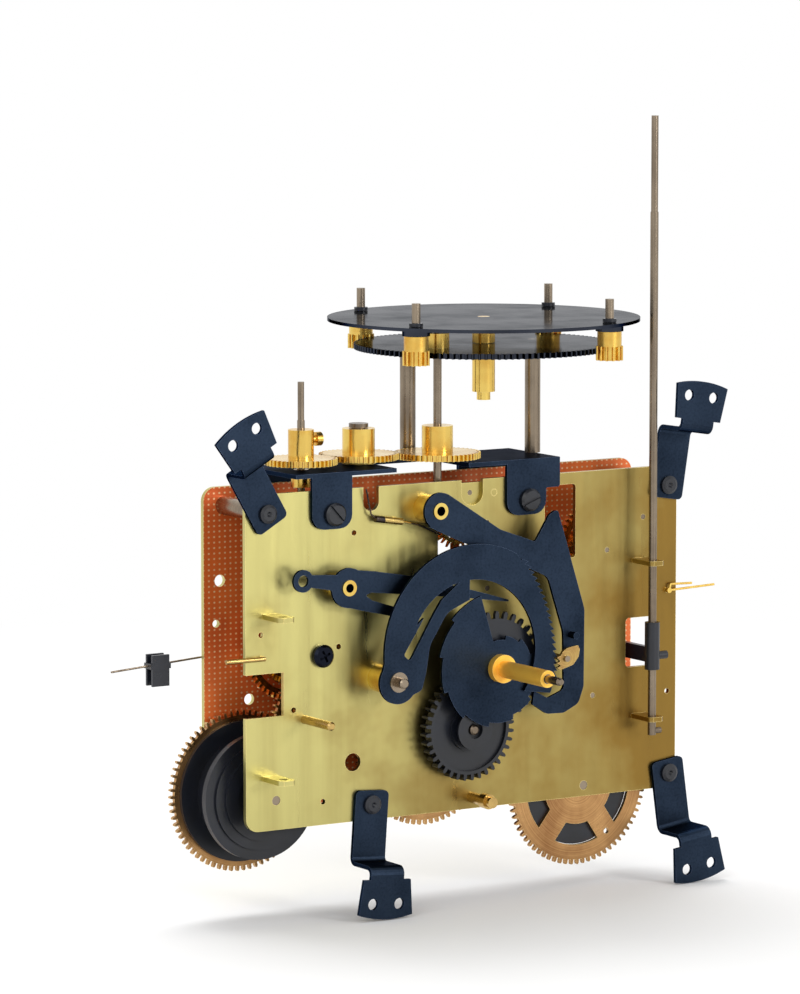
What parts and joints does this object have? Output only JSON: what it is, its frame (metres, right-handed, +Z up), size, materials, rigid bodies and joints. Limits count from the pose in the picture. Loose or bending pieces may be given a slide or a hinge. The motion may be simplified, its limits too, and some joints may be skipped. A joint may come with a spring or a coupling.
{
  "type": "cuckoo clock movement",
  "caption": "Weight-driven cuckoo clock movement with brass plates, strike and music trains, bird rod and a carousel of dancers.",
  "frame": {"origin": "on the axis of the hand shaft, level with the front faces of the mounting feet", "axes": "-Y points along the hand shaft to the viewer of the dial, +Z is up, +X runs right as seen from the front"},
  "size_m": [0.1896, 0.0979, 0.2265],
  "materials": {
    "plates": "satin",
    "wheels": "machined",
    "gold": "polished",
    "steel": "brushed",
    "blued": "satin blue-black",
    "slate": "satin",
    "black": "satin"
  },
  "bodies": {
    "frame": {"front_plate": "plates", "back_plate": "plates", "plate_pillars": "steel", "foot_top_left": "blued", "foot_top_right": "blued", "foot_bottom_middle": "blued", "foot_bottom_right": "blued", "foot_rivets": "black", "bridge_plate": "blued", "bridge_screws": "black", "carousel_posts": "steel", "sun_disc": "slate", "carousel_bearings": "gold", "lever_studs": "gold", "minute_stud": "steel", "arbor_brackets": "plates", "detent_spring": "gold", "front_posts": "steel"},
    "music_great": {"music_great_wheel": "wheels", "music_drum": "black"},
    "music_second": {"music_second_wheel": "wheels"},
    "music_third": {"music_contrate_wheel": "gold"},
    "music_air_brake": {"music_fly": "steel"},
    "mill": {"mill_arbor": "steel", "mill_gear": "gold"},
    "idler": {"idler_gear": "gold"},
    "lift": {"lift_arbor": "steel", "lift_gear": "gold"},
    "carousel": {"dancers_disc": "slate", "carousel_hub": "gold"},
    "dancer_a": {"dancer_1": "gold"},
    "dancer_b": {"dancer_2": "gold"},
    "dancer_c": {"dancer_3": "gold"},
    "dancer_d": {"dancer_4": "gold"},
    "time_great": {"time_great_wheel": "wheels", "time_drum": "black"},
    "centre": {"centre_arbor": "steel", "centre_wheel": "wheels"},
    "time_third": {"third_wheel": "wheels"},
    "escape": {"escape_wheel": "gold"},
    "escape_anchor": {"anchor": "steel"},
    "minute": {"minute_wheel": "black"},
    "hour": {"hour_wheel": "black", "snail": "black", "hour_tube": "gold"},
    "strike_great": {"strike_great_wheel": "wheels", "strike_drum": "black"},
    "strike_second": {"strike_second_wheel": "wheels"},
    "pallet": {"pallet_arbor": "wheels", "gathering_pallet": "gold"},
    "strike_fourth": {"strike_fourth_wheel": "wheels"},
    "warning": {"warning_wheel": "gold"},
    "strike_air_brake": {"strike_fly": "steel"},
    "rack_lever": {"rack": "blued"},
    "hook_lever": {"rack_hook": "blued"},
    "lift_lever": {"lifting_lever": "blued"},
    "bird": {"bird_rod": "steel", "bird_crank": "black"},
    "hammer": {"hammer_wire": "steel"},
    "bellows": {"bellows_wire": "gold"}
  },
  "joints": [
    {"name": "music_third_spin", "type": "hinge", "parent": "frame", "child": "music_third", "pos_m": [-0.05449, 0.012, 0.00673], "axis": [0, -1, 0], "continuous": true},
    {"name": "music_second_spin", "type": "hinge", "parent": "frame", "child": "music_second", "pos_m": [-0.05449, 0.012, -0.01247], "axis": [0, -1, 0], "continuous": true},
    {"name": "music_great_spin", "type": "hinge", "parent": "frame", "child": "music_great", "pos_m": [-0.0697, 0.012, -0.03355], "axis": [0, -1, 0], "continuous": true},
    {"name": "music_air_brake_spin", "type": "hinge", "parent": "frame", "child": "music_air_brake", "pos_m": [-0.04485, 0.012, 0.0205], "axis": [0, -1, 0], "continuous": true},
    {"name": "mill_spin", "type": "hinge", "parent": "frame", "child": "mill", "pos_m": [-0.05449, 0.02321, 0.059], "axis": [0, 0, 1], "continuous": true},
    {"name": "idler_spin", "type": "hinge", "parent": "frame", "child": "idler", "pos_m": [-0.03365, 0.02581, 0.059], "axis": [0, 0, 1], "continuous": true},
    {"name": "lift_spin", "type": "hinge", "parent": "frame", "child": "lift", "pos_m": [-0.01238, 0.01705, 0.059], "axis": [0, 0, 1], "continuous": true},
    {"name": "carousel_spin", "type": "hinge", "parent": "frame", "child": "carousel", "pos_m": [0.0076, 0.0235, 0.0988], "axis": [0, 0, 1], "continuous": true},
    {"name": "dancer_a_spin", "type": "hinge", "parent": "carousel", "child": "dancer_a", "pos_m": [0.02738, -0.01218, 0.0988], "axis": [0, 0, 1], "continuous": true},
    {"name": "dancer_b_spin", "type": "hinge", "parent": "carousel", "child": "dancer_b", "pos_m": [0.04328, 0.04328, 0.0988], "axis": [0, 0, 1], "continuous": true},
    {"name": "dancer_c_spin", "type": "hinge", "parent": "carousel", "child": "dancer_c", "pos_m": [-0.01218, 0.05918, 0.0988], "axis": [0, 0, 1], "continuous": true},
    {"name": "dancer_d_spin", "type": "hinge", "parent": "carousel", "child": "dancer_d", "pos_m": [-0.02808, 0.00372, 0.0988], "axis": [0, 0, 1], "continuous": true},
    {"name": "centre_spin", "type": "hinge", "parent": "frame", "child": "centre", "pos_m": [0, 0.012, 0], "axis": [0, -1, 0], "continuous": true},
    {"name": "time_great_spin", "type": "hinge", "parent": "frame", "child": "time_great", "pos_m": [-0.01222, 0.012, -0.02368], "axis": [0, -1, 0], "continuous": true},
    {"name": "time_third_spin", "type": "hinge", "parent": "frame", "child": "time_third", "pos_m": [0.0015, 0.012, 0.02205], "axis": [0, -1, 0], "continuous": true},
    {"name": "escape_spin", "type": "hinge", "parent": "frame", "child": "escape", "pos_m": [-0.0021, 0.012, 0.0404], "axis": [0, -1, 0], "continuous": true},
    {"name": "minute_spin", "type": "hinge", "parent": "frame", "child": "minute", "pos_m": [-0.00775, 0.012, -0.01757], "axis": [0, -1, 0], "continuous": true},
    {"name": "hour_spin", "type": "hinge", "parent": "frame", "child": "hour", "pos_m": [0, 0.012, 0], "axis": [0, -1, 0], "continuous": true},
    {"name": "pallet_spin", "type": "hinge", "parent": "frame", "child": "pallet", "pos_m": [0.02121, 0.012, 0.00143], "axis": [0, -1, 0], "continuous": true},
    {"name": "strike_second_spin", "type": "hinge", "parent": "frame", "child": "strike_second", "pos_m": [0.03851, 0.012, -0.01233], "axis": [0, -1, 0], "continuous": true},
    {"name": "strike_great_spin", "type": "hinge", "parent": "frame", "child": "strike_great", "pos_m": [0.0354, 0.012, -0.0388], "axis": [0, -1, 0], "continuous": true},
    {"name": "strike_fourth_spin", "type": "hinge", "parent": "frame", "child": "strike_fourth", "pos_m": [0.0254, 0.012, 0.01955], "axis": [0, -1, 0], "continuous": true},
    {"name": "warning_spin", "type": "hinge", "parent": "frame", "child": "warning", "pos_m": [0.0434, 0.012, 0.03036], "axis": [0, -1, 0], "continuous": true},
    {"name": "strike_air_brake_spin", "type": "hinge", "parent": "frame", "child": "strike_air_brake", "pos_m": [0.05618, 0.012, 0.03931], "axis": [0, -1, 0], "continuous": true},
    {"name": "anchor_swing", "type": "hinge", "parent": "frame", "child": "escape_anchor", "pos_m": [-0.00363, 0.012, 0.05008], "axis": [0, -1, 0], "range_deg": [-3, 3]},
    {"name": "rack_fall", "type": "hinge", "parent": "frame", "child": "rack_lever", "pos_m": [-0.0353, 0.0019, -0.0011], "axis": [0, -1, 0], "range_deg": [-26, 0]},
    {"name": "hook_lift", "type": "hinge", "parent": "frame", "child": "hook_lever", "pos_m": [-0.01975, 0.0043, 0.0467], "axis": [0, -1, 0], "range_deg": [0, 8]},
    {"name": "lever_lift", "type": "hinge", "parent": "frame", "child": "lift_lever", "pos_m": [-0.04875, 0.0069, 0.02635], "axis": [0, -1, 0], "range_deg": [0, 6]},
    {"name": "bird_turn", "type": "hinge", "parent": "frame", "child": "bird", "pos_m": [0.0548, 0.005, 0.018], "axis": [0, 0, 1], "range_deg": [-20, 20]},
    {"name": "hammer_pull", "type": "hinge", "parent": "frame", "child": "hammer", "pos_m": [-0.0596, 0.038, 0.0064], "axis": [0, -1, 0], "range_deg": [-10, 10]},
    {"name": "bellows_pull", "type": "hinge", "parent": "frame", "child": "bellows", "pos_m": [0.0649, 0.011, 0.017], "axis": [0, -1, 0], "range_deg": [-10, 10]}
  ],
  "couplings": [
    {"joint": "music_second_spin", "follows": "carousel_spin", "ratio": 1},
    {"joint": "music_great_spin", "follows": "carousel_spin", "ratio": -0.14286},
    {"joint": "music_air_brake_spin", "follows": "carousel_spin", "ratio": 18},
    {"joint": "mill_spin", "follows": "carousel_spin", "ratio": -7.2},
    {"joint": "idler_spin", "follows": "carousel_spin", "ratio": 6.5455},
    {"joint": "lift_spin", "follows": "carousel_spin", "ratio": -6},
    {"joint": "dancer_a_spin", "follows": "carousel_spin", "ratio": 10.333},
    {"joint": "dancer_b_spin", "follows": "carousel_spin", "ratio": 10.333},
    {"joint": "dancer_c_spin", "follows": "carousel_spin", "ratio": 10.333},
    {"joint": "dancer_d_spin", "follows": "carousel_spin", "ratio": 10.333},
    {"joint": "time_great_spin", "follows": "time_third_spin", "ratio": 0.018519},
    {"joint": "escape_spin", "follows": "time_third_spin", "ratio": -7.5},
    {"joint": "minute_spin", "follows": "time_third_spin", "ratio": 0.044444},
    {"joint": "hour_spin", "follows": "time_third_spin", "ratio": -0.011111},
    {"joint": "strike_second_spin", "follows": "strike_fourth_spin", "ratio": 0.019753},
    {"joint": "strike_great_spin", "follows": "strike_fourth_spin", "ratio": -0.0027435},
    {"joint": "warning_spin", "follows": "strike_fourth_spin", "ratio": -3.375},
    {"joint": "strike_air_brake_spin", "follows": "strike_fourth_spin", "ratio": 18.562},
    {"joint": "music_third_spin", "follows": "carousel_spin", "ratio": -3},
    {"joint": "centre_spin", "follows": "time_third_spin", "ratio": -0.13333},
    {"joint": "pallet_spin", "follows": "strike_fourth_spin", "ratio": -0.14815}
  ]
}
